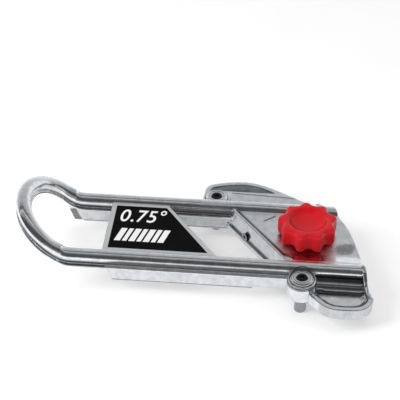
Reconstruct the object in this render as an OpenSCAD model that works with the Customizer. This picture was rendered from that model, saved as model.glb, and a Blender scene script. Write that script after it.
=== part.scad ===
// Base edge tuning tool: die-cast frame with a loop handle, two glide rails,
// a head that clamps a short file at a fixed bevel, two guide screws and a
// star knob. X runs along the tool (handle -X, head +X), +Y is the far side,
// Z = 0 is the plane of the ski base under the glide strips.

/* [Rails and handle] */
// Distance between the two rail centre lines
rail_span = 48.8; // [46:0.2:52]
// Diameter of the round rail and loop bar
bar_d = 8; // [7:0.1:8.6]
// Height of the bar centre over the ski base
bar_z = 13.4; // [13:0.05:13.8]
// Distance from the knob axis back to the handle bend
handle_x = 130.9; // [122:0.1:150]
// Tilt of the loop handle above the rails, degrees
handle_tilt = 40.6; // [20:0.1:50]
// Thickness of the skirt under each rail
skirt_t = 5.6; // [5:0.1:6.4]
// Thickness of the steel glide strips
strip_t = 0.6; // [0.4:0.1:0.9]

/* [Label bridge] */
// Height of the label bridge's top face
bridge_z = 15.2; // [14.6:0.1:15.6]
// Thickness of the label bridge
bridge_t = 3.2; // [2.4:0.1:4]
// Thickness of the label
label_t = 0.15; // [0.1:0.05:0.4]

/* [Head] */
// Height of the head plate's top face
plate_z = 14.4; // [14:0.1:14.8]
// Thickness of the head plate
plate_t = 4; // [3:0.1:4.2]
// Height of the far ear's lip
far_lip_z = 12.3; // [11:0.1:13]
// Height of the near ear's lip
near_lip_z = 8; // [7.4:0.1:9]
// Thickness of the ears' lips
lip_t = 2.8; // [2.2:0.1:3.2]

/* [File and clamp] */
// Bevel the file is held at, degrees
bevel = 0.75; // [0.5:0.25:1]
// Width of the file at its back
file_w = 14; // [12:0.1:14]
// Thickness of the file
file_t = 4; // [3.4:0.1:4]
// Length of the file
file_l = 88; // [78:0.5:88]
// Diameter of the clamp stud
stud_d = 6; // [5:0.1:6]

/* [Knob] */
// Diameter over the knob's lobes
knob_d = 32.2; // [29:0.2:34]
// Height of the knob
knob_h = 11.3; // [10:0.1:14]
// Number of lobes
knob_lobes = 9; // [7:1:11]

/* [Guide screws] */
// Diameter of each guide boss
boss_d = 15.8; // [14:0.1:17]
// Guide screw diameter
screw_d = 6; // [5:0.1:6]
// Diameter of the guide tip
tip_d = 6.5; // [6:0.1:7]
// How far the guide tips stand below the ski base plane
tip_reach = 8; // [3:0.1:9]

/* [Hidden] */
$fn = 64;

cl = 0.05;                       // running clearance
rail_y = rail_span / 2;
bar_r = bar_d / 2;
skirt_y0 = rail_y - 2.5;         // inner face of a skirt
skirt_z1 = 10.4;                 // where the skirt meets the bar
ridge_x = -24.8;                 // where the diagonal ridge crosses Y = 0
diag_a = 37.5;                   // direction across the diagonal
knob_xy = [0, 2];
near_boss = [-1.7, -32.9];
far_boss = [-51.9, 32.9];
knob_z = plate_z + 0.5;
pivot_y = rail_y + 3.1;          // the bevel starts at the far skirt's outer face
file_u = 3.25;                   // near edge of the file's back from the ridge
slant = 1.0;                     // how much narrower the cutting face is per side
jaw_top = 9.4;
plate_b = plate_z - plate_t;
spring_r = 4.35;
spring_w = 0.9;

// ---- helpers -------------------------------------------------------------
// curve through points, s pieces per span
function cr1(a, b, c, e, t) = 0.5 * ((2 * b) + (c - a) * t
    + (2 * a - 5 * b + 4 * c - e) * t * t + (3 * b - a - 3 * c + e) * t * t * t);
function curve(p, s) = concat([for (i = [0:len(p) - 2], k = [0:s - 1])
    cr1(p[max(0, i - 1)], p[i], p[i + 1], p[min(len(p) - 1, i + 2)], k / s)],
    [p[len(p) - 1]]);
function unit(v) = v / norm(v);
function tang(p, i) = unit(p[min(len(p) - 1, i + 1)] - p[max(0, i - 1)]);
// curve moved sideways by t, to its left
function beside(p, t) = [for (i = [0:len(p) - 1]) let(g = tang(p, i)) p[i] + t * [-g[1], g[0]]];
function rev(p) = [for (i = [len(p) - 1:-1:0]) p[i]];

// frame of the diagonal: x across (u), y along towards the far side (w)
module diag() translate([ridge_x, 0, 0]) rotate([0, 0, diag_a]) children();
// tips everything by the bevel about the far skirt's outer lower line
module tilt() translate([0, pivot_y, 0]) rotate([-bevel, 0, 0]) translate([0, -pivot_y, 0]) children();
// extrudes a (u, z) section along w from w0 to w1
module along_w(w0, w1) translate([0, w1, 0]) rotate([90, 0, 0]) linear_extrude(w1 - w0) children();
// extrudes an (x, z) section along Y from y0 to y1
module along_y(y0, y1) translate([0, y1, 0]) rotate([90, 0, 0]) linear_extrude(y1 - y0) children();
// (x) position on the diagonal's line u at height y
function dx(u, y) = ridge_x + (u - y * sin(diag_a)) / cos(diag_a);

// ---- outlines ------------------------------------------------------------
arc_pts = curve([[5, 31.6], [14.1, 26.2], [17.6, 19.6], [20.9, 13.3], [23.6, 7], [26.3, -2.2],
    [28.8, -12.9], [30.7, -20.5], [32.6, -28.5], [34.4, -34], [36.2, -38.7]], 5);
far_pts = curve([[-59.4, 25], [-59.5, 33], [-59.2, 40.5], [-58.2, 44.2], [-55.4, 46.9],
    [-48.3, 49.3], [-39.7, 50.7], [-33.9, 50.6], [-28, 49.3], [-22.1, 46.8], [-16.2, 43.5],
    [-10.3, 40], [-4.5, 36.4], [5, 31.6]], 5);
near_pts = curve([[36.2, -38.7], [35, -42.4], [32.2, -46.2], [27.9, -48.3], [21.2, -48.9],
    [15, -48.5], [10.6, -46.6], [6.7, -43], [3.2, -39.2], [-1, -35]], 5);

// everything of the rails and head lies inside this outline
module head_clip() translate([0, 0, -1]) linear_extrude(24)
    polygon(concat(arc_pts, near_pts, [[-8, -29.5], [-150, -29.5], [-150, 29.5], [-59.6, 29.5]],
        [for (p = far_pts) if (p[1] > 30) p]));

// ---- frame casting -------------------------------------------------------
module rail(side, x1) {
    translate([-handle_x, side * rail_y, bar_z]) rotate([0, 90, 0]) cylinder(r = bar_r, h = handle_x + x1);
}

module loop() {
    // elbows a little fuller than the bar
    for (s = [-1, 1]) translate([-handle_x, s * rail_y, bar_z]) rotate([0, 90, 0]) sphere(r = bar_r + 0.12);
    translate([-handle_x, 0, bar_z]) rotate([0, -(180 - handle_tilt) + 180, 0])
        rotate([0, 0, 0]) mirror([1, 0, 0]) union() {
            for (s = [-1, 1]) translate([0, s * rail_y, 0]) rotate([0, 90, 0]) cylinder(r = bar_r, h = 6.6);
            translate([6.6, 0, 0]) rotate([0, 0, -90])
                rotate_extrude(angle = 180) translate([rail_y, 0]) circle(r = bar_r);
        }
}

// skirt with sloping ends, under one rail
module skirt(side, xa_top, xa_bot, xb, z0) {
    y0 = side > 0 ? skirt_y0 : -skirt_y0 - skirt_t;
    along_y(y0, y0 + skirt_t)
        polygon([[xa_bot, z0], [xb, z0], [xb, skirt_z1 + 0.6], [xa_top, skirt_z1 + 0.6]]);
}

// gusset that carries the far skirt's end up to the handle's bend
module bend_gusset() along_y(skirt_y0, skirt_y0 + skirt_t)
    polygon([[-132.5, strip_t], [-129, strip_t], [-129, 11], [-130.9, 13.4], [-133.5, 15.5],
        [-135.6, 14.5], [-135.6, 9.6]]);

// flat flange under a rail, from the bend to the head
module flange(side, x1) translate([-handle_x, side > 0 ? rail_y - 4.3 : -rail_y - 4.3, 8.4])
    cube([handle_x + x1, 8.6, 1.5]);

module bridge() {
    translate([0, 0, bridge_z - bridge_t]) linear_extrude(bridge_t)
        polygon([[-109.7, -rail_y], [-44.6, -rail_y], [-80.3, rail_y], [-109.7, rail_y]]);
    // shallow stiffening rib under the diagonal edge
    translate([0, 0, bridge_z - bridge_t - 1.6]) linear_extrude(2)
        polygon([[-48.6, -rail_y], [-44.6, -rail_y], [-80.3, rail_y], [-84.3, rail_y]]);
}

module diagonal_wall() {
    intersection() {
        diag() along_w(-60, 60) polygon([[-1.3, plate_z + 0.6], [-1, plate_z + 1], [0.3, plate_z + 1],
            [0.6, plate_z + 0.6], [0.8, plate_z - 0.3], [3.1, plate_z - 0.6], [3.1, 1.1], [-3.2, 1.1],
            [-3, 4.4], [-1.7, 5.35], [-1.5, 6.6], [-1.3, 7.6]]);
        translate([-70, -rail_y, 0]) cube([80, rail_span, 20]);
    }
}

module plate() {
    translate([0, 0, plate_b]) linear_extrude(plate_t)
        polygon(concat([[dx(0, -rail_y), -rail_y], [31.6, -rail_y]],
            rev([for (p = arc_pts) if (p[1] < rail_y && p[1] > -rail_y) p]),
            [[15, rail_y], [dx(0, rail_y), rail_y]]));
}

module arc_wall() {
    inner = beside(arc_pts, -2.6);
    hi = [for (i = [0:len(arc_pts) - 1]) if (arc_pts[i][1] > -25) i];
    // full height beside the plate
    translate([0, 0, 4]) linear_extrude(plate_z - 4 - 0.1)
        polygon(concat([for (i = hi) arc_pts[i]], rev([for (i = hi) inner[i]])));
    // thin raised rim along the edge
    rim = beside(arc_pts, -1.3);
    translate([0, 0, 10]) linear_extrude(plate_z - 10 + 0.4)
        polygon(concat([for (i = hi) arc_pts[i]], rev([for (i = hi) rim[i]])));
    // low part at the near ear
    translate([0, 0, 1.1]) linear_extrude(7)
        polygon(concat(arc_pts, rev(inner)));
}

module far_ear() {
    inner = beside(far_pts, -lip_t);
    // pocket floor between the shelf and the lip
    translate([0, 0, 5]) linear_extrude(3) intersection() {
        polygon(concat(far_pts, [[14, 26], [14, 22.5], [-59.4, 22.5]]));
        translate([-60, 40.3]) square([80, 15]);
    }
    translate([0, 0, 1.1]) linear_extrude(far_lip_z - 1.1) polygon(concat(far_pts, rev(inner)));
    // flat shelf from the rail out to the pocket
    along_x(-52, 12) polygon([[22.3, 4.7], [25, 4.7], [25, 9.3], [39.7, 9.3], [39.7, 4.7], [41.5, 4.7],
        [41.5, 12], [41.2, 12.3], [24, 12.3]]);
    // ribs under the shelf
    for (x = [-30, -14, 0]) translate([x, 24, 2]) cube([2.2, 16.6, 7.8]);
}
module along_x(x0, x1) translate([x0, 0, 0]) rotate([90, 0, 90]) linear_extrude(x1 - x0) children();

module near_ear() {
    inner = beside(near_pts, lip_t);
    translate([0, 0, 3.4]) linear_extrude(3.1)
        polygon(concat(near_pts, [[-1, -24], [31, -24], [33, -30]]));
    translate([0, 0, 1.1]) linear_extrude(near_lip_z - 1.1)
        polygon(concat(near_pts, rev([for (i = [0:len(inner) - 6]) beside(near_pts, -lip_t)[i]])));
    // shelf along the rail's flange
    translate([0, 0, 5]) linear_extrude(3.2) polygon([[2, -24], [31.6, -24], [33.2, -31.1], [2, -31.1]]);
}

module boss(c) translate([c[0], c[1], 0]) rotate_extrude()
    polygon([[0, 2], [boss_d / 2 - 2.7, 2], [boss_d / 2 - 1.3, 2.5], [boss_d / 2 - 0.4, 3.5],
        [boss_d / 2, 4.9], [boss_d / 2, 12.4], [boss_d / 2 - 0.5, 13.3],
        [boss_d / 2 - 1.3, 13.8], [5.7, 14], [5.5, 14.7], [5.1, 14.9], [0, 14.9]]);

// ribs the file's back seats on, under the plate
module seat_ribs() intersection() {
    diag() union() {
        for (u = [3.3, 8.2, 12.6]) translate([u, -40, 3]) cube([2.1, 80, plate_b - 2.5]);
        for (w = [-34, -17, 0, 17, 34]) translate([3.3, w, 3]) cube([11.4, 2.2, plate_b - 2.5]);
    }
    union() {
        translate([-60, -24, 0]) cube([100, 48, 20]);
        translate([-60, 0, 0]) cube([100, 41, 9.7]);
        translate([-60, -34, 0]) cube([100, 34, 5.9]);
    }
}

module frame_casting() color([0.72, 0.73, 0.75]) {
    difference() {
        union() {
            loop();
            intersection() {
                union() {
                    rail(-1, 33);
                    rail(1, 17);
                    skirt(-1, -107.5, -103.8, -28, strip_t);
                    skirt(-1, -28.5, -28.5, 33, 1.1);
                    skirt(1, -132.5, -132.5, -42, strip_t);
                    bend_gusset();
                    flange(-1, 31.6);
                    flange(1, 14);
                    bridge();
                    diagonal_wall();
                    plate();
                    arc_wall();
                    far_ear();
                    near_ear();
                    seat_ribs();
                }
                head_clip();
            }
            boss(near_boss);
            boss(far_boss);
        }
        // channel for the file, open at the far ear
        tilt() diag() translate([3.1, -file_l / 2 - 0.6, -6]) cube([file_w + 0.3, 110, 6 + file_t + 0.03]);
        // room for the jaw under the plate
        diag() translate([15.1, -31, -6]) cube([12.6, 35.5, 6 + plate_b]);
        // seat of the fence strip
        tilt() diag() translate([1.6, -26, -2]) cube([1.65, 52, 11]);
        // fence screw holes with countersinks
        fence_holes();
        // guide bosses
        for (c = [near_boss, far_boss]) translate([c[0], c[1], 0]) {
            translate([0, 0, 5.9]) cylinder(r = 4.4, h = 20);
            translate([0, 0, -5]) cylinder(r = tip_d / 2 + cl, h = 20);
        }
        // stud bush and jaw pins
        translate([knob_xy[0], knob_xy[1], 0]) cylinder(r = 5, h = 30);
        diag() for (w = [-24.5, -2.5]) translate([23.4, w, 0]) cylinder(r = 1.5, h = plate_b + 2.6);
        // shallow engraved line on the plate
        translate([-24.5, 13, plate_z - 0.4]) rotate([0, 0, 29.5]) translate([0, -0.35, 0]) cube([8.7, 0.7, 2]);
        // groove along the near ear's shelf
        translate([10, -32.8, 6]) cube([20.5, 1.4, 3]);
    }
}

module fence_holes() for (w = [12.1, -20]) diag() translate([-6, w, 6.2]) rotate([0, 90, 0]) {
    cylinder(r = 1.6, h = 8);
    translate([0, 0, 3.2]) cylinder(r1 = 2.45, r2 = 1.6, h = 1.7);
    cylinder(r = 2.45, h = 3.21);
}

// ---- added pieces --------------------------------------------------------
module label_sticker() color([0.05, 0.05, 0.05]) translate([0, 0, bridge_z]) linear_extrude(label_t)
    polygon([[-106.8, -18.3], [-52.8, -18.3], [-78.7, 18.3], [-106.8, 18.3]]);

module near_glide_strip() color([0.8, 0.81, 0.83])
    translate([-103.8, -skirt_y0 - skirt_t, 0]) cube([75.8, skirt_t, strip_t]);
module far_glide_strip() color([0.8, 0.81, 0.83])
    translate([-127.2, skirt_y0, 0]) cube([85.2, skirt_t, strip_t]);

module thread_bush(c) translate([c[0], c[1], 0]) rotate_extrude()
    polygon([[screw_d / 2 + cl, 5.9], [4.4, 5.9], [4.4, 14.6], [4.1, 14.9], [screw_d / 2 + 0.35, 14.9],
        [screw_d / 2 + cl, 14.6]]);
module near_thread_bush() color([0.62, 0.6, 0.55]) thread_bush(near_boss);
module far_thread_bush() color([0.62, 0.6, 0.55]) thread_bush(far_boss);

module guide_screw(c) translate([c[0], c[1], 0]) difference() {
    translate([0, 0, 5.2]) union() {
        cylinder(r = screw_d / 2, h = 9.3);
        translate([0, 0, 9.3]) cylinder(r1 = screw_d / 2, r2 = screw_d / 2 - 0.3, h = 0.3);
    }
    translate([0, 0, 11.3]) cylinder(r = 1.73, h = 6, $fn = 6);
    translate([0, 0, 14.4]) cylinder(r1 = 1.6, r2 = 2.1, h = 0.5);
}
module near_guide_screw() color([0.08, 0.08, 0.09]) guide_screw(near_boss);
module far_guide_screw() color([0.08, 0.08, 0.09]) guide_screw(far_boss);

module guide_tip(c) translate([c[0], c[1], 0]) rotate_extrude()
    polygon([[0, -tip_reach], [tip_d / 2 - 0.7, -tip_reach], [tip_d / 2, -tip_reach + 0.7],
        [tip_d / 2, -0.7], [tip_d / 2 - 0.35, -0.7], [tip_d / 2 - 0.35, 4.9], [tip_d / 2 - 0.65, 5.2], [0, 5.2]]);
module near_guide_tip() color([0.8, 0.81, 0.83]) guide_tip(near_boss);
module far_guide_tip() color([0.8, 0.81, 0.83]) guide_tip(far_boss);

module clamp_knob() color([0.78, 0.1, 0.13]) translate([knob_xy[0], knob_xy[1], knob_z]) difference() {
    intersection() {
        linear_extrude(knob_h) union() {
            circle(r = knob_d / 2 - 2.6);
            for (i = [0:knob_lobes - 1]) rotate(95.2 + i * 360 / knob_lobes)
                translate([knob_d / 2 - 3.4, 0]) circle(r = 3.4, $fn = 32);
        }
        rotate_extrude() polygon([[0, 0], [knob_d / 2 - 1, 0], [knob_d / 2 - 0.3, 0.3], [knob_d / 2, 1],
            [knob_d / 2, knob_h - 2], [knob_d / 2 - 0.4, knob_h - 1], [knob_d / 2 - 1.2, knob_h - 0.3],
            [knob_d / 2 - 2.4, knob_h], [0, knob_h]]);
    }
    // shallow dish in the top
    translate([0, 0, knob_h + 17]) sphere(r = 20, $fn = 96);
    translate([0, 0, -1]) cylinder(r = 5, h = 6.6);
}

module knob_insert() color([0.75, 0.6, 0.3]) translate([knob_xy[0], knob_xy[1], knob_z]) difference() {
    union() {
        cylinder(r = 5, h = 5.6);
    }
    translate([0, 0, -1]) cylinder(r = stud_d / 2, h = 8);
}

module clamp_stud() color([0.6, 0.61, 0.63]) translate([knob_xy[0], knob_xy[1], 0]) union() {
    translate([0, 0, 2.4]) cylinder(r1 = stud_d / 2 - 0.6, r2 = stud_d / 2, h = 0.6);
    translate([0, 0, 3]) cylinder(r = stud_d / 2, h = knob_z + 5.6 - 3);
}

module stud_bush() color([0.62, 0.6, 0.55]) translate([knob_xy[0], knob_xy[1], 0]) rotate_extrude()
    polygon([[stud_d / 2 + cl, plate_b], [5, plate_b], [5, plate_z], [stud_d / 2 + cl, plate_z]]);

module knob_washer() color([0.7, 0.71, 0.73]) translate([knob_xy[0], knob_xy[1], plate_z]) difference() {
    cylinder(r = 7, h = knob_z - plate_z);
    translate([0, 0, -1]) cylinder(r = stud_d / 2 + 0.2, h = 6);
}

jaw_u = file_u + file_w;         // the file's far edge
module clamp_jaw() color([0.5, 0.51, 0.53]) difference() {
    intersection() {
        tilt() diag() along_w(-30, 3)
            polygon([[jaw_u - slant * 0.8 + 0.04, 0.8], [26.6, 0.8], [27.4, 1.6], [27.4, 12],
                [jaw_u + 0.05, 12], [jaw_u + 0.05, file_t]]);
        translate([-40, -40, 1.4]) cube([90, 90, jaw_top - 1.4]);
    }
    // stud thread and spring pocket
    translate([knob_xy[0], knob_xy[1], -1]) cylinder(r = stud_d / 2 + 0.04, h = 20);
    translate([knob_xy[0], knob_xy[1], 4.4]) cylinder(r = spring_r + 0.8, h = 20);
    // pin holes
    diag() for (w = [-24.5, -2.5]) translate([23.4, w, -1]) cylinder(r = 1.5 + cl, h = 20);
}

// wire section in a level plane, as a crescent along the coil
function wire(n, am) = concat([for (i = [0:n]) let(t = -am + 2 * am * i / n, h = spring_w / 2 * sqrt(max(0, 1 - pow(t / am, 2))))
        (spring_r + h) * [cos(t), sin(t)]],
    [for (i = [n - 1:-1:1]) let(t = -am + 2 * am * i / n, h = spring_w / 2 * sqrt(max(0, 1 - pow(t / am, 2))))
        (spring_r - h) * [cos(t), sin(t)]]);
module jaw_spring() color([0.65, 0.66, 0.68]) translate([knob_xy[0], knob_xy[1], 4.4])
    linear_extrude(height = plate_b - 4.4, twist = -360 * 3.5, slices = 36, convexity = 6) polygon(wire(6, 94));

module jaw_guide_pins() color([0.75, 0.76, 0.78]) diag() for (w = [-24.5, -2.5]) translate([23.4, w, 2.2]) {
    cylinder(r1 = 1.1, r2 = 1.5, h = 0.5);
    translate([0, 0, 0.5]) cylinder(r = 1.5, h = plate_b + 2.6 - 2.7);
}

module file_blade() color([0.45, 0.46, 0.48]) tilt() diag() along_w(-file_l / 2, file_l / 2)
    polygon([[file_u + slant, 0], [file_u + file_w - slant, 0], [file_u + file_w, file_t], [file_u, file_t]]);

module file_fence() color([0.55, 0.56, 0.58]) difference() {
    tilt() diag() along_w(-26, 26) polygon([[1.6, 1], [file_u + 0.75 * slant - 0.04, 1],
        [file_u - 0.04, file_t], [file_u, 4.8], [file_u, 9], [1.6, 9]]);
    for (w = [12.1, -20]) diag() translate([-6, w, 6.2]) rotate([0, 90, 0]) cylinder(r = 1.25, h = 12);
}

module fence_screws() color([0.3, 0.3, 0.31]) for (w = [12.1, -20])
    diag() translate([-6, w, 6.2]) rotate([0, 90, 0]) difference() {
        union() {
            translate([0, 0, 4.9 - 1.5]) cylinder(r1 = 2.35, r2 = 1.25, h = 1.5);
            translate([0, 0, 3.3]) cylinder(r = 2.35, h = 0.11);
            translate([0, 0, 4.8]) cylinder(r = 1.25, h = 4.3);
        }
        translate([0, 0, 3]) cylinder(r = 1.15, h = 1.2, $fn = 6);
    }

frame_casting();
label_sticker();
near_glide_strip();
far_glide_strip();
near_thread_bush();
far_thread_bush();
near_guide_screw();
near_guide_tip();
far_guide_screw();
far_guide_tip();
clamp_knob();
knob_insert();
clamp_stud();
stud_bush();
knob_washer();
clamp_jaw();
jaw_spring();
jaw_guide_pins();
file_blade();
file_fence();
fence_screws();
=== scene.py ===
"""A hand tool: a polished cast frame carrying a file, a clamp jaw and a red lobed knob.

The frame's two rails run along X at y = -RAIL_Y ("near") and +RAIL_Y ("far"). The looped
handle is at -X and climbs away from the rails. The knob's axis is Z, near x = 0. Shapes are
given in millimetres; lights, camera, floor and shader distances are in metres.
"""
import math
import bmesh
import bpy
import numpy as np
from mathutils import Matrix, Vector

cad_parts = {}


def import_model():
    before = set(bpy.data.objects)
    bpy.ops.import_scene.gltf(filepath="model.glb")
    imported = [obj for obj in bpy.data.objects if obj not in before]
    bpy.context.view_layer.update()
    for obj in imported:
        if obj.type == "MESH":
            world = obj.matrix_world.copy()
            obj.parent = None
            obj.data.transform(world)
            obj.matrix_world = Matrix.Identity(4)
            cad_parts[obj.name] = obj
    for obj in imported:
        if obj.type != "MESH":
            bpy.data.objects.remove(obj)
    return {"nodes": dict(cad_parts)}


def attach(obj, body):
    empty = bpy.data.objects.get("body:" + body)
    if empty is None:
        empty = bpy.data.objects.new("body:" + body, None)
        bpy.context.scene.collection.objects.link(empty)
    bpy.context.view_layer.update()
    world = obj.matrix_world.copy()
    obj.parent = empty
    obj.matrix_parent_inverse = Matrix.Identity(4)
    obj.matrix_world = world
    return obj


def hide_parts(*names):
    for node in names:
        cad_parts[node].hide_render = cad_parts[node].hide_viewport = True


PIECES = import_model()["nodes"]


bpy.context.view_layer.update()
MM = 0.001

# ------------------------------------------------------------------ driving dimensions
RAIL_Y = 24.4                       # rail centre lines, either side of y = 0
BAR_Z = 13.4                        # height of the rails' round bars
HANDLE_X = 130.9                    # the handle starts at x = -HANDLE_X
HANDLE_RUN = 6.6                    # straight part of the handle before its half circle
HANDLE_TILT = math.radians(40.6)
BRIDGE_Z = 15.2                     # top of the flat that carries the label
FILM_Z = BRIDGE_Z + 0.15            # top of the label film
KNOB = (0.0, 2.0)                   # knob axis
KNOB_Z = 14.9                       # underside of the knob
NEAR_BOSS, FAR_BOSS = (-1.7, -32.9), (-51.9, 32.9)
RIDGE_X = -24.8                     # where the diagonal ridge crosses y = 0
DIAG = math.radians(37.5)           # the diagonal's turn about Z
BEVEL = math.radians(0.75)          # tip of the file
TIP_Y = RAIL_Y + 3.1                # line the file is tipped about, at z = 0
VOXEL = 0.00036      # remesh size of the casting, metres


# ------------------------------------------------------------------ shader nodes
def connect(tree, value, socket):
    """Link a socket, or set a plain value."""
    if isinstance(value, bpy.types.NodeSocket):
        tree.links.new(value, socket)
    else:
        socket.default_value = value


def set_inputs(tree, node, **inputs):
    """Fill inputs by name, with _ for a space; None leaves one alone."""
    for key, value in inputs.items():
        if value is not None:
            connect(tree, value, node.inputs[key.replace("_", " ")])


def add_node(tree, kind, **inputs):
    node = tree.nodes.new(kind)
    set_inputs(tree, node, **inputs)
    return node


def operate(tree, kind, operation, *values):
    node = tree.nodes.new(kind)
    node.operation = operation
    for i, value in enumerate(values):
        connect(tree, value, node.inputs[i])
    return node.outputs[0]


def calc(tree, operation, *values):
    return operate(tree, "ShaderNodeMath", operation, *values)


def new_material(name):
    material = bpy.data.materials.new(name)
    material.use_nodes = True
    tree = material.node_tree
    tree.nodes.clear()
    out = tree.nodes.new("ShaderNodeOutputMaterial")
    shader = tree.nodes.new("ShaderNodeBsdfPrincipled")
    tree.links.new(shader.outputs[0], out.inputs[0])
    return material, tree, shader


def object_coords(tree, scale=(1, 1, 1)):
    source = tree.nodes.new("ShaderNodeTexCoord").outputs["Object"]
    return add_node(tree, "ShaderNodeMapping", Vector=source, Scale=scale).outputs[0]


def noise(tree, vector, scale, detail=3.0, rough=0.5):
    return add_node(tree, "ShaderNodeTexNoise", Vector=vector, Scale=scale, Detail=detail,
                    Roughness=rough).outputs[0]


def ramp(tree, factor, stops):
    """Colour ramp from (position, grey or RGB) stops."""
    node = tree.nodes.new("ShaderNodeValToRGB")
    elements = node.color_ramp.elements
    while len(elements) > 1:
        elements.remove(elements[-1])
    for i, (position, colour) in enumerate(stops):
        if not isinstance(colour, tuple):
            colour = (colour,) * 3
        if i == 0:
            elements[0].position = position
            element = elements[0]
        else:
            element = elements.new(position)
        element.color = colour + (1,)
    tree.links.new(factor, node.inputs[0])
    return node.outputs[0]


def mottle(tree, factor, low, high):
    """Two colours blended over the middle of a noise."""
    return ramp(tree, factor, [(0.3, low), (0.7, high)])


def to_range(tree, factor, limits):
    """Maps the middle of a noise onto the limits."""
    return add_node(tree, "ShaderNodeMapRange", Value=factor, From_Min=0.3, From_Max=0.7,
                    To_Min=limits[0], To_Max=limits[1]).outputs[0]


def bump(tree, height, strength, distance, below=None):
    return add_node(tree, "ShaderNodeBump", Height=height, Strength=strength,
                    Distance=distance, Normal=below).outputs[0]


# ------------------------------------------------------------------ materials
def metal(name, colour, rough=(0.2, 0.35), streak=(1, 1, 1), wave=0.1, fine=0.3, tint=0.06):
    """Plated or ground metal: uneven polish, fine marks and slow waviness.

    A small streak factor draws the fine marks out along that axis.
    """
    material, tree, shader = new_material(name)
    marks = noise(tree, object_coords(tree, streak), scale=900, detail=4, rough=0.6)
    even = object_coords(tree)
    waves = noise(tree, even, scale=70, detail=2)
    stains = noise(tree, even, scale=260, rough=0.6)
    dark = tuple(c * (1 - tint * 2.2) for c in colour)
    wavy = bump(tree, waves, strength=wave, distance=0.0006)
    set_inputs(tree, shader,
               Base_Color=mottle(tree, stains, dark, colour),
               Metallic=1.0,
               Roughness=to_range(tree, marks, rough),
               Normal=bump(tree, marks, strength=fine, distance=0.00002, below=wavy))
    return material


def plastic(name, colour, rough, grain, scale, vary, specular=0.5):
    """Moulded or printed surface: fine grain and a slow change of colour."""
    material, tree, shader = new_material(name)
    even = object_coords(tree)
    grains = noise(tree, even, scale=scale, rough=0.6)
    patches = noise(tree, even, scale=90, detail=2)
    dark = tuple(c * (1 - vary) for c in colour)
    set_inputs(tree, shader,
               Base_Color=mottle(tree, patches, dark, colour),
               Roughness=to_range(tree, grains, rough),
               Coat_Roughness=0.15,
               Specular_IOR_Level=specular,
               Normal=bump(tree, grains, strength=grain, distance=0.00002))
    return material


def cast_metal():
    """Polished casting: its colour is darkened by painted shade and reflections stored per
    vertex, and it is dulled by its "matt" attribute.
    """
    material = metal("cast_polished", (0.85, 0.88, 0.91), rough=(0.06, 0.15),
                     streak=(0.12, 1, 1), wave=0.22, fine=0.42, tint=0.10)
    tree = material.node_tree
    shader = tree.nodes["Principled BSDF"]

    def attribute(name):
        node = tree.nodes.new("ShaderNodeAttribute")
        node.attribute_name = name
        return node.outputs["Fac"]

    colour = shader.inputs["Base Color"].links[0].from_socket
    rough = shader.inputs["Roughness"].links[0].from_socket
    matt_gain = 0.24            # roughness added where matt is 1
    # painted shade and reflections darken the base colour
    painted_shade_colour = operate(tree, "ShaderNodeVectorMath", "MULTIPLY", colour, attribute("painted_shade"))
    dulled = calc(tree, "MULTIPLY_ADD", attribute("matt"), matt_gain, rough)
    set_inputs(tree, shader, Base_Color=painted_shade_colour, Roughness=dulled)
    return material


def red_plastic():
    """Strong red with a faint emission: painted light that makes it glow a little by itself."""
    red = (0.53, 0.006, 0.012)
    material = plastic("red_moulded", red, rough=(0.26, 0.38), grain=0.25, scale=1400,
                       vary=0.12, specular=0.35)
    tree = material.node_tree
    # painted light: a faint glow from the emission brightens the knob everywhere
    set_inputs(tree, tree.nodes["Principled BSDF"],
               Emission_Color=red + (1,), Emission_Strength=0.11)
    return material


def satin_metal():
    """Matt cast border round the label."""
    material, tree, shader = new_material("cast_satin")
    grains = noise(tree, object_coords(tree), scale=2200, detail=4, rough=0.7)
    set_inputs(tree, shader,
               Base_Color=mottle(tree, grains, (0.60, 0.61, 0.62), (0.72, 0.73, 0.74)),
               Metallic=0.7,
               Roughness=0.42,
               Normal=bump(tree, grains, strength=0.35, distance=0.00003))
    return material


CAST = cast_metal()
RINGS = metal("cast_rings", (0.835, 0.865, 0.895), rough=(0.09, 0.18), fine=0.18)
STRIP = metal("strip_ground", (0.72, 0.73, 0.75), streak=(0.03, 1, 1), wave=0.05, fine=0.4)
TIP = metal("tip_ground", (0.34, 0.35, 0.37), rough=(0.16, 0.3), streak=(1, 1, 0.1), wave=0.05)
BUSH = metal("bush_plated", (0.74, 0.76, 0.79))
BRASS = metal("insert_brass", (0.72, 0.56, 0.28))
ZINC = metal("zinc_plated", (0.62, 0.63, 0.65))
MILLED = metal("milled_steel", (0.5, 0.51, 0.53), rough=(0.22, 0.4), streak=(1, 0.05, 1),
               wave=0.05, fine=0.5)
FILE = metal("file_steel", (0.4, 0.41, 0.43), rough=(0.25, 0.45), wave=0.05, fine=0.5)
BLACK = metal("black_oxide", (0.032, 0.036, 0.043), rough=(0.35, 0.5), fine=0.4)
SCREW = metal("screw_grey", (0.36, 0.37, 0.39), rough=(0.25, 0.4), fine=0.4)
RED = red_plastic()
FILM = plastic("label_film", (0.004, 0.004, 0.0045), rough=(0.4, 0.5), grain=0.12, scale=900,
               vary=0.3, specular=0.03)
INK = plastic("label_ink", (0.86, 0.86, 0.85), rough=(0.3, 0.42), grain=0.1, scale=900,
              vary=0.05)
SATIN = satin_metal()


# ------------------------------------------------------------------ mesh helpers
# A shape is a pair: its vertices in mm and its faces.
def new_object(name, data):
    ob = bpy.data.objects.new(name, data)
    bpy.context.scene.collection.objects.link(ob)
    return ob


def shade(mesh, sharp):
    """Smooth shading with edges above `sharp` degrees kept crisp."""
    for face in mesh.polygons:
        face.use_smooth = True
    mesh.set_sharp_from_angle(angle=math.radians(sharp))


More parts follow.
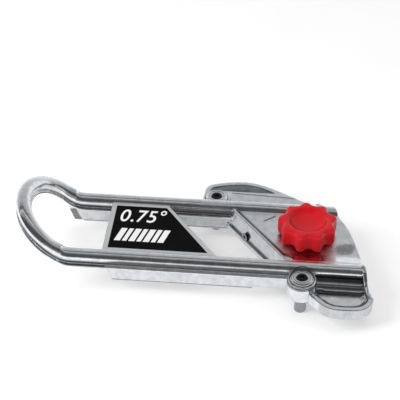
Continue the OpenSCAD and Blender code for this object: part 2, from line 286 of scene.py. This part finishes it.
def add_mesh(name, shape, material, body, sharp):
    verts, faces = shape
    mesh = bpy.data.meshes.new(name)
    mesh.from_pydata([tuple(c * MM for c in v) for v in verts], [], faces)
    mesh.validate()
    mesh.update()
    ob = new_object(name, mesh)
    bm = bmesh.new()
    bm.from_mesh(mesh)
    bmesh.ops.recalc_face_normals(bm, faces=bm.faces)
    bm.to_mesh(mesh)
    bm.free()
    shade(mesh, sharp)
    mesh.materials.append(material)
    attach(ob, body)
    return ob


def skin(loops, cap_start=True, cap_end=True):
    """Skin a list of equal-length closed loops."""
    verts = [v for loop in loops for v in loop]
    n = len(loops[0])
    faces = []
    for i in range(len(loops) - 1):
        a, b = i * n, (i + 1) * n
        for k in range(n):
            j = (k + 1) % n
            faces.append((a + k, a + j, b + j, b + k))
    last = len(verts) - n
    if cap_start:
        faces.append(tuple(range(n))[::-1])
    if cap_end:
        faces.append(tuple(range(last, last + n)))
    return verts, faces


def extrude(outline, z0, z1):
    return skin([[(x, y, z) for x, y in outline] for z in (z0, z1)])


def merge(shapes):
    verts, faces = [], []
    for part_verts, part_faces in shapes:
        start = len(verts)
        verts += part_verts
        faces += [tuple(i + start for i in face) for face in part_faces]
    return verts, faces


def angles(count):
    return [2 * math.pi * i / count for i in range(count)]


def level_loop(centre, z, radii):
    """Loop at one height, with a radius for each of its equally spaced angles."""
    return [(centre[0] + r * math.cos(a), centre[1] + r * math.sin(a), z)
            for a, r in zip(angles(len(radii)), radii)]


def wire_loop(point, radius, side, up, count):
    """Circular section of a round bar or wire."""
    return [tuple(point + radius * (math.cos(a) * side + math.sin(a) * up))
            for a in angles(count)]


def round_bar(points, radius, count):
    """Round bar through points, none of its runs vertical."""
    points = [Vector(p) for p in points]
    loops = []
    for i, point in enumerate(points):
        along = (points[min(i + 1, len(points) - 1)] - points[max(i - 1, 0)]).normalized()
        side = along.cross(Vector((0, 0, 1)))
        side.normalize()
        up = side.cross(along).normalized()
        loops.append(wire_loop(point, radius, side, up, count))
    return skin(loops)


def torus(centre, z, radius, wire, count=72, section=12):
    loops = []
    for a in angles(count):
        loops.append([(centre[0] + (radius + wire * math.cos(b)) * math.cos(a),
                       centre[1] + (radius + wire * math.cos(b)) * math.sin(a),
                       z + wire * math.sin(b)) for b in angles(section)])
    verts, faces = skin(loops, cap_start=False, cap_end=False)
    last = len(verts) - section
    for j in range(section):
        k = (j + 1) % section
        faces.append((last + j, last + k, k, j))
    return verts, faces


# ------------------------------------------------------------------ casting: added shapes
def handle_flange():
    """Flat flange carried on round the handle, straight below its bar."""
    half_width, bottom, top = 4.3, -5.0, -3.5       # about the bar's centre
    overlap = Vector((2.5, 0, 0))                   # run back into the rails
    line = [(0.0, -RAIL_Y), (HANDLE_RUN * 0.5, -RAIL_Y)]
    for degrees in range(0, 181, 6):
        a = math.radians(degrees)
        line.append((HANDLE_RUN + RAIL_Y * math.sin(a), -RAIL_Y * math.cos(a)))
    line += [(HANDLE_RUN * 0.5, RAIL_Y), (0.0, RAIL_Y)]
    points = [Vector((-HANDLE_X - d * math.cos(HANDLE_TILT), y,
                      BAR_Z + d * math.sin(HANDLE_TILT))) for d, y in line]
    points = [points[0] + overlap] + points + [points[-1] + overlap]
    corners = ((half_width, bottom), (-half_width, bottom), (-half_width, top), (half_width, top))
    loops = []
    for i, point in enumerate(points):
        along = points[min(i + 1, len(points) - 1)] - points[max(i - 1, 0)]
        along.z = 0
        along.normalize()
        side = Vector((-along.y, along.x, 0))
        loops.append([tuple(point + side * offset + Vector((0, 0, z))) for offset, z in corners])
    return skin(loops)


# (y, z) section of the hollow fillet from the plate up to the near rail
FILLET = [(-13.2, 14.3), (-13.4, 14.42), (-14.6, 14.66), (-16.2, 15.13), (-18.0, 15.68),
          (-19.8, 16.26), (-21.4, 16.9), (-22.5, 16.9), (-22.5, 13.0), (-13.2, 13.0)]

# (x, y, z) centre line of the rounded rim that closes the +X end of the near rail
END_RIM = [(27.7, -15.5, 13.2), (28.5, -18.5, 14.5), (29.3, -21.0, 15.8), (30.2, -24.0, 16.7),
           (31.0, -27.2, 15.6), (31.6, -29.6, 12.2), (32.1, -31.2, 9.4), (33.0, -34.5, 8.0),
           (34.5, -38.6, 7.2)]

# (x, y) outline of the small rib on the -Y side of the near boss
BOSS_RIB = [(-1.8, -40.4), (1.9, -40.4), (2.3, -37.0), (-1.4, -37.0)]


def rail_fillet():
    """The fillet runs from the diagonal ridge to a slanting end."""
    start = [(RIDGE_X + (0.9 - y * math.sin(DIAG)) / math.cos(DIAG), y, z) for y, z in FILLET]
    end = [(27.9 + (-13.4 - y) * 0.245, y, z) for y, z in FILLET]
    return skin([start, end])


def rail_rib(rail_y, x_end):
    """Thin rib along a rail, on its -Y side."""
    y, z, x_start = rail_y - 4.0, 9.2, -129.5
    return round_bar([(x_start, y, z), (x_end, y, z)], radius=0.62, count=10)


# ------------------------------------------------------------------ casting: painted shade and reflections
# (x, y) outer edge of the near ear
EAR_EDGE = [(36.2, -38.7), (35, -42.4), (32.2, -46.2), (27.9, -48.3), (21.2, -48.9),
            (15, -48.5), (10.6, -46.6), (6.7, -43), (3.2, -39.2), (-1, -35)]


def ease(v, a, b):
    """0 below a, 1 above b, smooth between."""
    t = np.clip((v - a) / (b - a), 0.0, 1.0)
    return t * t * (3 - 2 * t)


def within(v, low, high):
    return (v > low) * (v < high)


def band(v, low, high, soft):
    return ease(v, low - soft, low + soft) * (1 - ease(v, high - soft, high + soft))


def line_distance(x, y, line):
    """Distance of every point from a bent line."""
    best = np.full(len(x), 1e9)
    for (ax, ay), (bx, by) in zip(line[:-1], line[1:]):
        dx, dy = bx - ax, by - ay
        t = np.clip(((x - ax) * dx + (y - ay) * dy) / (dx * dx + dy * dy), 0, 1)
        best = np.minimum(best, np.hypot(x - ax - t * dx, y - ay - t * dy))
    return best


def bar_painted_reflection(x, y, z, nz, rail):
    """Painted reflection: dark band low on the round bars, wider along the middle of the rails.
    """
    rel = z - (BAR_Z + np.maximum(0.0, -HANDLE_X - x) * math.tan(HANDLE_TILT))
    mid = ease(x, -110.0, -98.0) * (1 - ease(x, -12.0, -4.0))
    top = 0.4 + 1.2 * mid           # height the band fades out at
    slope = 0.2 + 0.22 * mid        # upward slope it fades out at
    on_bar = np.where(x < -HANDLE_X, 1.0, (1 - ease(rail, 4.2, 4.6)) * (np.abs(y) > 19.5))
    return 0.86 * (ease(rel, -3.6, -3.1) * (1 - np.clip((rel - top + 1.2) / 1.2, 0, 1))
                   * (1 - np.clip((nz - slope + 0.2) / 0.2, 0, 1)) * on_bar)


def skirt_painted_reflection(x, y, z, ny):
    """Painted reflections on the skirts, and on the far skirt's face towards -Y."""
    line = -130.3 + (6.0 - z) * (2.8 / 6.0)     # slanting limit of its dark handle end
    inner = within(y, 20.5, 23.5) * (z < 8.3) * (ny < -0.5)
    return [
        0.12 * (z < 8.3) * (np.abs(ny) > 0.7) * (np.abs(y) < 28.2),
        inner * (1 - ease(x, line - 0.5, line + 0.4)) * 0.70,
        inner * ease(x, -126.0, -112.0) * 0.22]


def plate_painted_shade(x, y, z, nz, u, nu, on_plate):
    """Painted shade and reflections on the ridge, plate and diagonal wall; u runs across the
    diagonal, nu is the normal along u.
    """
    # painted reflection: a dark patch with a mottled outline
    pa = (x - 20.9) / 6.6
    pb = (y + 7.4 - 0.2 * (x - 20.9)) / 5.6
    blot = 0.5 + 0.5 * (
        np.sin(x * 2.1 + 1.3 * np.sin(y * 1.7)) * np.sin(y * 2.7 + 1.1 * np.sin(x * 1.9)))
    fleck = 0.5 + 0.5 * (
        np.sin(x * 5.3 + 2.2 * np.sin(y * 3.1)) * np.sin(y * 4.9 + 1.9 * np.sin(x * 2.7)))
    reach = np.abs(pa) ** 2.5 + np.abs(pb) ** 2.5 + 0.55 * blot + 0.25 * fleck
    patch = 1 - ease(reach, 0.6, 1.35)
    # dark line painted on the plate, in its own direction
    lx, ly = math.cos(math.radians(38.4)), math.sin(math.radians(38.4))
    along = (x + 23.9) * lx + (y - 13.0) * ly
    across = np.abs(-(x + 23.9) * ly + (y - 13.0) * lx)
    flat = within(z, 14.0, 14.9) * (nz > 0.6)
    # painted shade in the hollow step low on the diagonal wall
    step = (np.abs(y) < 20.4) * within(u, -3.6, -0.9) * (nu < -0.2)
    return [
        # painted shade on the side of the ridge towards the knob, and at its foot
        0.88 * on_plate * ease(nu, 0.06, 0.2) * within(u, 0.0, 2.6),
        0.60 * on_plate * (u > 0.9) * (1 - ease(u, 1.9, 2.6)) * (z < 15.6),
        patch * (z > 14.0) * (nz > 0.9) * (0.32 + 0.26 * blot + 0.22 * fleck),
        0.75 * flat * within(along, 0, 8.0) * (1 - ease(across, 0.3, 0.65)),
        0.62 * step * ease(z, 3.9, 4.3) * (1 - ease(z, 5.6, 6.4))]


def head_painted_shade(x, y, z, ny, nz):
    """Painted reflections and shade on the near ear and the flutes beside it, and on the far ear.
    """
    head = ease(x, 2.5, 4.5) * (y < -24.0) * (z < 13.0) * (1 - ease(x, 33.5, 35.0))
    near = (x > 2.0) * (y < -33.5) * within(z, 6.3, 8.6)
    dist = line_distance(x, y, EAR_EDGE)
    ring = near * ease(dist, 2.3, 2.7) * (1 - ease(dist, 4.6, 5.2))
    shaded_sides = (1 - ease(nz, 0.2, 0.5)) * (z < 9.0) * (ease(x, 7.0, 9.0) * (y < -33.0))
    edge = 41.0 - (x + 46.0) * 0.055            # edge of the far ear's shelf
    return [
        # painted reflections on the flutes, in bands that follow the rail
        head * 0.88 * (y > -28.9) * (z > 9.2) * (1 - ease(z, 12.8, 13.3)),
        head * 0.55 * within(z, 6.6, 8.2) * band(y, -31.4, -30.4, 0.2),
        head * 0.80 * within(z, 5.6, 6.9) * band(y, -33.3, -32.6, 0.15),
        # painted shade in the rounding inside the near ear's lip, and a thin painted dark line at
        # its outer edge
        (0.80 * (y < -40.0) + 0.45 * (y >= -40.0)) * ring,
        0.55 * near * (dist < 0.55) * ease(nz, 0.05, 0.25) * (1 - ease(nz, 0.72, 0.9)),
        # painted shade on the sides of the near ear
        0.27 * shaded_sides,
        # painted dark line along the far ear's shelf, and painted shade on the -Y facing wall of
        # its pocket
        0.62 * within(x, -43.5, -3.0) * (z > 11.2) * ease(y, edge - 1.9, edge - 1.6)
        * (1 - ease(y, edge - 0.9, edge - 0.6)) * (nz > 0.5),
        0.45 * (y > 40.0) * (ny < -0.3) * within(z, 5.5, 12.0)]


def boss_painted_shade(x, y, z):
    """Painted reflections: fine dark rings in the boss tops; the rail's painted dark band carries
    on beside the near boss.
    """
    shades = []
    for cx, cy in (NEAR_BOSS, FAR_BOSS):
        r = np.hypot(x - cx, y - cy)
        shades.append(0.78 * (z > 12.0) * ease(r, 6.1, 6.3) * (1 - ease(r, 6.7, 6.9)))
        shades.append(0.65 * within(z, 11.5, 13.6) * ease(r, 7.35, 7.55) * (r < 8.1))
    beside = ((1 - ease(np.abs(x - NEAR_BOSS[0]), 5.5, 9.0)) * ease(-y, 26.2, 27.4)
              * (y > -29.3) * within(z, 13.6, 17.2))
    return shades + [0.55 * beside]


def matt_amount(x, y, z, nz, u, rail, on_plate):
    """How matt: flat lapped faces are less bright than the round bars."""
    matt = ease(nz, 0.93, 0.99) * (z > 11.5) * (np.abs(y) < 42)
    for cx, cy in (NEAR_BOSS, FAR_BOSS):
        matt = np.maximum(matt, 0.8 * (1 - ease(np.abs(x - cx), 6.5, 10.0)) * (rail < 6.0)
                          * (z > 9.0) * (y * cy > 0))
    # buffed patch on the -Y side of the knob, with duller lapping marks beside it
    off = np.abs(x - 1.0)
    beside = (ease(off, 6.0, 10.5) * (1 - ease(off, 12.5, 17.0) * (x > 0)) * (x > -24.0)
              * within(y, -24.0, -5.0) * (z > 14.0) * (nz > 0.3))
    beside = np.maximum(beside, on_plate * within(u, -0.4, 2.4) * (x > -26.0))
    buffed = ease(-y, 8.0, 12.0) * (y > -22.0) * (z > 14.0) * (1 - ease(off, 5.5, 9.0))
    return np.maximum(matt, 1.6 * beside) * (1 - 0.60 * buffed)


def vertex_rows(mesh, key):
    values = np.empty(len(mesh.vertices) * 3, dtype=np.float32)
    mesh.vertices.foreach_get(key, values)
    return values.reshape(-1, 3)


def store(mesh, name, values):
    layer = mesh.attributes.new(name, "FLOAT", "POINT")
    layer.data.foreach_set("value", values.astype(np.float32))


def paint_shade_on_casting(mesh):
    """Painted shade and reflections, darkest in sheltered places and on faces that point down,
    and how matt each face is.
    """
    x, y, z = (vertex_rows(mesh, "co") * 1000.0).T
    nx, ny, nz = vertex_rows(mesh, "normal").T
    rail = np.abs(np.abs(y) - RAIL_Y)
    cu, su = math.cos(DIAG), math.sin(DIAG)
    u = (x - RIDGE_X) * cu + y * su
    nu = nx * cu + ny * su
    on_plate = (np.abs(y) < 20.5) * (z > 13.2)
    # painted shade on faces that point downwards
    painted_underside_shade = 0.45 * (1 - ease(nz, -0.9, -0.5))
    dark = bar_painted_reflection(x, y, z, nz, rail)
    for shades in (skirt_painted_reflection(x, y, z, ny), plate_painted_shade(x, y, z, nz, u, nu, on_plate),
                   head_painted_shade(x, y, z, ny, nz), boss_painted_shade(x, y, z), [painted_underside_shade]):
        for patch in shades:
            dark = np.maximum(dark, patch)
    # the +X end face of the head gets no painted shade
    dark = dark * (1 - ease(nx, 0.45, 0.75) * (x > 5.0) * (y > -34.0))
    # painted shade and reflections, kept as a per-vertex colour factor
    store(mesh, "painted_shade", 1 - np.clip(dark, 0, 0.92))
    store(mesh, "matt", matt_amount(x, y, z, nz, u, rail, on_plate))


def bend_elbows(mesh):
    """Eases the handle into the rails instead of a sharp corner."""
    reach = 5.0                     # length of the bend either side of the corner
    co = vertex_rows(mesh, "co")
    x, y, z = (co * 1000.0).T
    d = -HANDLE_X - x
    rise = (d + reach) ** 2 / (4 * reach) - np.maximum(0.0, d)
    lift = np.where(np.abs(d) < reach, rise, 0.0) * math.tan(HANDLE_TILT)
    low = 7.5 + np.maximum(0.0, d) * math.tan(HANDLE_TILT)
    co[:, 2] += (lift * ease(z, low - 4.5, low + 1.0)) * 0.001
    mesh.vertices.foreach_set("co", co.reshape(-1))
    mesh.update()


# ------------------------------------------------------------------ casting: assembly
def join_shape(mesh, shape):
    verts, faces = shape
    bm = bmesh.new()
    bm.from_mesh(mesh)
    added = [bm.verts.new(tuple(c * MM for c in v)) for v in verts]
    for face in faces:
        bm.faces.new([added[i] for i in face])
    bmesh.ops.remove_doubles(bm, verts=bm.verts, dist=1e-7)
    bmesh.ops.recalc_face_normals(bm, faces=bm.faces)
    bm.to_mesh(mesh)
    bm.free()


def cast_frame():
    """The CAD casting and the added shapes, fused and softened into one skin."""
    mesh = PIECES["frame_casting"].data.copy()
    ob = new_object("frame_skin", mesh)
    join_shape(mesh, merge([
        handle_flange(),
        rail_fillet(),
        round_bar(END_RIM, radius=1.35, count=16),
        extrude(BOSS_RIB, 5.6, 8.8),
        rail_rib(-RAIL_Y, x_end=30.6),
        rail_rib(RAIL_Y, x_end=-48)]))
    mesh.materials.clear()
    fuse = ob.modifiers.new("skin", "REMESH")
    fuse.mode = "VOXEL"
    fuse.voxel_size = VOXEL
    fuse.adaptivity = 0.0
    fuse.use_smooth_shade = True
    soften = ob.modifiers.new("soften", "SMOOTH")
    soften.factor = 0.5
    soften.iterations = 6
    depsgraph = bpy.context.evaluated_depsgraph_get()
    final = bpy.data.meshes.new_from_object(ob.evaluated_get(depsgraph))
    ob.modifiers.clear()
    ob.data = final
    for face in final.polygons:
        face.use_smooth = True
    final.materials.clear()
    final.materials.append(CAST)
    paint_shade_on_casting(final)             # painted shade worked out before the bend, on the straight shape
    bend_elbows(final)
    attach(ob, "frame")
    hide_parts("frame_casting")


def boss_rings():
    """Crisp rings round the guide screws."""
    # (height, ring radius, wire radius)
    sizes = [(14.85, 4.75, 0.24), (14.1, 5.75, 0.22), (13.25, 7.35, 0.22)]
    for side, centre in (("near", NEAR_BOSS), ("far", FAR_BOSS)):
        shape = merge([torus(centre, *size) for size in sizes])
        add_mesh(side + "_boss_rings", shape, RINGS, "frame", sharp=60)


cast_frame()
boss_rings()


# ------------------------------------------------------------------ knob
LOBES = 9
LOBE_START = math.radians(95.2)     # direction of one lobe's crown
LOBED_R = 14.85                     # mean radius of the lobed outline

# Knob profile, from the middle of the underside out, up and down into the dish:
# (radius, z, 0, lift) for plain circles and (inset, z, lobe depth, lift) for lobed loops;
# lift is how far the underside rises at the recesses between lobes.
KNOB_PROFILE = [
    (3.1, 0.0, 0, 0), (7.6, 0.0, 0, 0), (9.0, 0.1, 0, 0.2), (10.4, 0.1, 0, 0.4),
    (2.9, 0.05, 0.5, 0.7), (1.7, 0.0, 0.8, 1.0), (1.1, 0.1, 0.95, 1.1), (0.6, 0.5, 1, 1.0),
    (0.25, 1.2, 1, 0.8), (0.08, 2.4, 1, 0.4), (0.0, 4.6, 1, 0.1), (0.0, 7.0, 1, 0),
    (0.0, 8.8, 1, 0), (0.12, 9.7, 1, 0), (0.45, 10.4, 1, 0), (0.95, 10.9, 0.98, 0),
    (1.5, 11.2, 0.95, 0), (2.1, 11.3, 0.85, 0), (11.3, 11.3, 0, 0), (10.9, 11.2, 0, 0),
    (10.5, 10.95, 0, 0), (10.1, 10.5, 0, 0), (9.6, 9.85, 0, 0), (8.9, 9.05, 0, 0),
    (7.9, 8.25, 0, 0), (6.6, 7.6, 0, 0), (5.1, 7.15, 0, 0), (3.4, 6.85, 0, 0),
    (1.6, 6.73, 0, 0), (0.25, 6.7, 0, 0)]


def lobed_radius(a, depth):
    wave = math.cos(LOBES * (a - LOBE_START))
    if wave <= 0:
        wave *= 0.92                # recesses are shallower than the crowns
    return LOBED_R + depth * (1.25 * wave + 0.10 * math.cos(2 * LOBES * (a - LOBE_START)))


def knob():
    loops = []
    for size, z, depth, lift in KNOB_PROFILE:
        loop = []
        for a in angles(216):
            r = lobed_radius(a, depth) - size if depth else size
            rise = lift * (0.5 - 0.5 * math.cos(LOBES * (a - LOBE_START)))
            loop.append((KNOB[0] + r * math.cos(a), KNOB[1] + r * math.sin(a),
                         KNOB_Z + z + rise))
        loops.append(loop)
    ob = add_mesh("knob_body", skin(loops, cap_start=False), RED, "knob", sharp=50)
    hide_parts("clamp_knob")


knob()


# ------------------------------------------------------------------ threads
THREAD_R, PITCH, THREAD_DEPTH, CHAMFER = 3.0, 1.0, 0.32, 0.45
ROUND, ROWS_PER_PITCH = 48, 10              # points round the thread, rows per turn
SOCKET_FLATS, SOCKET_DEPTH = 3.0, 0.8       # hexagon socket


def thread_radius(z, a, z0, z1, socket):
    phase = ((z - z0) / PITCH - a / (2 * math.pi)) % 1.0
    ridge = 1 - abs(2 * phase - 1)
    groove = THREAD_DEPTH * min(1.0, max(0.0, 1.25 * ridge - 0.1))
    # chamfered at the bottom, and more shortly at a socketed top
    full = min(1.0, (z - z0) / CHAMFER, (z1 - z) / (CHAMFER * 0.6) if socket else 1.0)
    return min(THREAD_R - groove, THREAD_R - (1 - max(0.0, full)) * CHAMFER)


def hexagon_radius(a):
    return SOCKET_FLATS / 2 / math.cos((a % (math.pi / 3)) - math.pi / 6)


def threaded(name, centre, z0, z1, material, body, node, socket=False):
    loops = [level_loop(centre, z0, [THREAD_R - CHAMFER - 0.2] * ROUND)]
    rows = int((z1 - z0) / PITCH * ROWS_PER_PITCH)
    for i in range(rows + 1):
        z = z0 + (z1 - z0) * i / rows
        radii = [thread_radius(z, a, z0, z1, socket) for a in angles(ROUND)]
        loops.append(level_loop(centre, z, radii))
    if socket:
        hexagon = [hexagon_radius(a) for a in angles(ROUND)]
        # (depth below the top, radii) down the socket
        for depth, radii in ((0, [1.95] * ROUND), (0.15, [1.8] * ROUND), (0.35, hexagon),
                             (SOCKET_DEPTH, hexagon), (SOCKET_DEPTH + 0.3, [0.6] * ROUND)):
            loops.append(level_loop(centre, z1 - depth, radii))
    ob = add_mesh(name, skin(loops), material, body, sharp=28)
    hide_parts(node)


for side, boss in (("near", NEAR_BOSS), ("far", FAR_BOSS)):
    threaded(side + "_set_screw", boss, 5.2, 14.8, BLACK, side + "_screw",
             side + "_guide_screw", socket=True)
threaded("clamp_stud_thread", KNOB, 2.4, 20.5, ZINC, "knob", "clamp_stud")


# ------------------------------------------------------------------ file
def file_point(u, w, z):
    """Point across (u) and along (w) the diagonal, tipped by the bevel."""
    x = RIDGE_X + u * math.cos(DIAG) - w * math.sin(DIAG)
    y = u * math.sin(DIAG) + w * math.cos(DIAG) - TIP_Y
    return (x, y * math.cos(BEVEL) + z * math.sin(BEVEL) + TIP_Y,
            -y * math.sin(BEVEL) + z * math.cos(BEVEL))


def file_body():
    """Blade with saw-like teeth across its underside."""
    u0, u1, thick, half_length = 3.25, 17.25, 4.0, 44.0
    pitch, tooth_run, tooth_depth = 0.9, 0.72, 0.22     # run is a share of the pitch
    margin, edge = 1.0, 0.25        # plain border beside the teeth, chamfer of the edges
    end_inset = 0.35                # how far the ends draw in over their last millimetre
    loops = []
    for tooth in range(int(2 * half_length / pitch) + 1):
        start = -half_length + tooth * pitch
        for w, d in ((start, 0.0), (start + pitch * tooth_run, tooth_depth)):
            k = end_inset * (1 - min(1.0, half_length - abs(w)))
            section = [(u0 + margin + k, d + k), (u1 - margin - k, d + k),
                       (u1 - k, thick - edge), (u1 - edge - k, thick),
                       (u0 + edge + k, thick), (u0 + k, thick - edge)]
            loops.append([file_point(u, w, z) for u, z in section])
    ob = add_mesh("file_toothed", skin(loops), FILE, "file", sharp=20)
    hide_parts("file_blade")


file_body()


# ------------------------------------------------------------------ spring
def spring():
    """Coil round the stud, with its end turns lying flat."""
    radius, wire, turns, steps = 4.35, 0.45, 3.6, 160
    z0, z1 = 4.4 + wire, 10.4 - wire
    flat_share, rising_share = 0.14, 0.72
    loops = []
    for i in range(steps + 1):
        s = i / steps
        z = z0 + (z1 - z0) * min(1.0, max(0.0, (s - flat_share) / rising_share))
        a = 2 * math.pi * turns * s
        point = Vector((KNOB[0] + radius * math.cos(a), KNOB[1] + radius * math.sin(a), z))
        out = Vector((math.cos(a), math.sin(a), 0))
        loops.append(wire_loop(point, wire, out, Vector((0, 0, 1)), 10))
    ob = add_mesh("jaw_spring_coil", skin(loops), ZINC, "frame", sharp=60)
    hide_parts("jaw_spring")


spring()


# ------------------------------------------------------------------ label
def label_border():
    """Satin plate just under the film."""
    outline = [(-109.0, -20.0), (-49.2, -20.0), (-78.4, 20.0), (-109.0, 20.0)]
    shape = extrude(outline, BRIDGE_Z - 0.25, BRIDGE_Z + 0.03)
    add_mesh("label_border", shape, SATIN, "frame", sharp=30)


def angle_number():
    """Printed number, stretched to fill its box."""
    name = "angle_number"
    box = ((-103.4, -78.1), (4.4, 15.6))        # x range, y range
    curve = bpy.data.curves.new(name, "FONT")
    curve.body = "0.75°"
    curve.size = 17.6 * MM
    curve.shear = 0.16
    curve.offset = 0.16 * MM
    curve.extrude = 0.012 * MM
    curve.space_character = 1.06
    source = new_object(name, curve)
    depsgraph = bpy.context.evaluated_depsgraph_get()
    mesh = bpy.data.meshes.new_from_object(source.evaluated_get(depsgraph))
    bpy.data.objects.remove(source)
    ob = new_object(name, mesh)
    mesh.transform(Matrix.Translation((0, 0, (FILM_Z + 0.02) * MM)))
    for axis, (low, high) in enumerate(box):
        values = [v.co[axis] for v in mesh.vertices]
        start, span = min(values), max(values) - min(values)
        for v in mesh.vertices:
            v.co[axis] = (low + (v.co[axis] - start) / span * (high - low)) * MM
    mesh.materials.clear()
    mesh.materials.append(INK)
    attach(ob, "frame")


def plain_mark():
    """Row of slanting bars, wide and narrow by turns."""
    y0, y1, slant, gap = -12.2, -1.4, 0.28, 1.1
    low, high = slant * (y0 + 12), slant * (y1 + 12)
    bars = []
    x = -104.3
    for i in range(7):
        end = x + (3.3 if i % 2 == 0 else 2.4)
        outline = [(x + low, y0), (end + low, y0), (end + high, y1), (x + high, y1)]
        bars.append(extrude(outline, FILM_Z + 0.005, FILM_Z + 0.03))
        x = end + gap
    add_mesh("plain_mark", merge(bars), INK, "frame", sharp=30)


label_border()
angle_number()
plain_mark()


# ------------------------------------------------------------------ CAD pieces kept as they are
for piece, material, slot in (
        ("label_sticker", FILM, "label"),
        ("near_glide_strip", STRIP, "strip_steel"),
        ("far_glide_strip", STRIP, "strip_steel"),
        ("near_thread_bush", BUSH, "bush_brass"),
        ("far_thread_bush", BUSH, "bush_brass"),
        ("near_guide_tip", TIP, "tip_steel"),
        ("far_guide_tip", TIP, "tip_steel"),
        ("knob_insert", BRASS, "bush_brass"),
        ("stud_bush", BRASS, "bush_brass"),
        ("knob_washer", ZINC, "stud_steel"),
        ("clamp_jaw", MILLED, "jaw_steel"),
        ("jaw_guide_pins", TIP, "tip_steel"),
        ("file_fence", MILLED, "jaw_steel"),
        ("fence_screws", SCREW, "black_steel")):
    ob = PIECES[piece]
    ob.data.materials.clear()
    ob.data.materials.append(material)
    shade(ob.data, sharp=35.0)


# ------------------------------------------------------------------ stage
def floor_paper():
    """Pale paper; clear from below, so the tool's underside can be looked at."""
    material, tree, shader = new_material("floor_paper")
    patches = noise(tree, object_coords(tree), scale=40)
    set_inputs(tree, shader, Base_Color=mottle(tree, patches, 0.68, 0.70), Roughness=0.9,
               Emission_Color=(1, 1, 1, 1), Emission_Strength=0.38)
    below = tree.nodes.new("ShaderNodeNewGeometry").outputs["Backfacing"]
    clear = tree.nodes.new("ShaderNodeBsdfTransparent").outputs[0]
    mix = tree.nodes.new("ShaderNodeMixShader")
    for i, source in enumerate((below, shader.outputs[0], clear)):
        tree.links.new(source, mix.inputs[i])
    tree.links.new(mix.outputs[0], tree.nodes["Material Output"].inputs["Surface"])
    return material


def floor():
    half, z = 6.0, -0.0081
    mesh = bpy.data.meshes.new("floor")
    corners = [(-half, -half, z), (half, -half, z), (half, half, z), (-half, half, z)]
    mesh.from_pydata(corners, [], [(0, 1, 2, 3)])
    ob = new_object("floor", mesh)
    mesh.materials.append(floor_paper())


# Studio brightness round the X axis: (degrees from overhead, + towards -Y; grey)
STUDIO = [(-180, 1.0), (-106, 1.0), (-90, 0.96), (-77, 0.96), (-66, 0.68), (-56, 0.57),
          (-42, 0.55), (-26, 0.46), (-19, 0.36), (-12, 0.14), (-6, 0.16), (0, 0.62),
          (5, 0.60), (12, 0.26), (18, 0.34), (26, 0.14), (38, 0.09), (54, 0.08),
          (66, 0.09), (76, 0.15), (85, 0.42), (92, 0.36), (180, 0.40)]


def studio():
    """World of light and dark bands along X, with slightly wavering edges."""
    world = bpy.data.worlds.new("studio")
    bpy.context.scene.world = world
    world.use_nodes = True
    tree = world.node_tree
    tree.nodes.clear()
    out = tree.nodes.new("ShaderNodeOutputWorld")
    background = tree.nodes.new("ShaderNodeBackground")
    tree.links.new(background.outputs[0], out.inputs[0])
    direction = tree.nodes.new("ShaderNodeTexCoord").outputs["Generated"]
    axes = add_node(tree, "ShaderNodeSeparateXYZ", Vector=direction).outputs
    angle = calc(tree, "ARCTAN2", calc(tree, "MULTIPLY", axes["Y"], -1.0), axes["Z"])
    waver = calc(tree, "SUBTRACT", noise(tree, direction, scale=1.6, detail=1.0), 0.5)
    waver = calc(tree, "MULTIPLY", waver, 0.35)         # 0.35 rad of play in all
    turn = calc(tree, "MULTIPLY", calc(tree, "ADD", angle, waver), 1 / (2 * math.pi))
    turn = calc(tree, "ADD", turn, 0.5)
    bands = ramp(tree, turn, [(0.5 + degrees / 360.0, grey) for degrees, grey in STUDIO])
    set_inputs(tree, background, Color=bands, Strength=1.0)


def area(name, place, target, size, power):
    light = bpy.data.lights.new(name, "AREA")
    light.shape = "RECTANGLE"
    light.size, light.size_y = size
    light.energy = power
    ob = new_object(name, light)
    ob.location = place
    aim = Vector(target) - Vector(place)
    ob.rotation_euler = aim.to_track_quat("-Z", "Y").to_euler()
    ob.visible_glossy = False


floor()
studio()
area("key", place=(-0.95, -0.45, 0.85), target=(-0.03, 0, 0.01), size=(0.6, 0.8), power=12.0)
area("fill", place=(0.25, -1.1, 0.55), target=(-0.03, 0, 0.01), size=(0.8, 0.5), power=5.0)
area("top", place=(0.0, 0.1, 1.3), target=(-0.03, 0, 0.0), size=(1.0, 0.8), power=3.0)


# ------------------------------------------------------------------ camera
def camera():
    """Looks down from the -Y side, turned a little towards +X."""
    turn, height = math.radians(5.3047), math.radians(39.4242)
    target, distance = Vector((-0.05943, 0.0, 0.01135)), 0.6635
    back = Vector((math.sin(turn) * math.cos(height), -math.cos(turn) * math.cos(height),
                   math.sin(height)))
    right = Vector((math.cos(turn), math.sin(turn), 0))
    data = bpy.data.cameras.new("cam")
    data.sensor_width = 36
    data.lens = 108.5724
    data.shift_x = 0.004705
    data.shift_y = 0.09088
    data.clip_start = 0.01
    data.clip_end = 50
    ob = new_object("cam", data)
    matrix = Matrix((right, back.cross(right), back)).transposed().to_4x4()
    matrix.translation = target + back * distance
    ob.matrix_world = matrix
    bpy.context.scene.camera = ob


camera()
bpy.context.scene.view_settings.view_transform = "Standard"
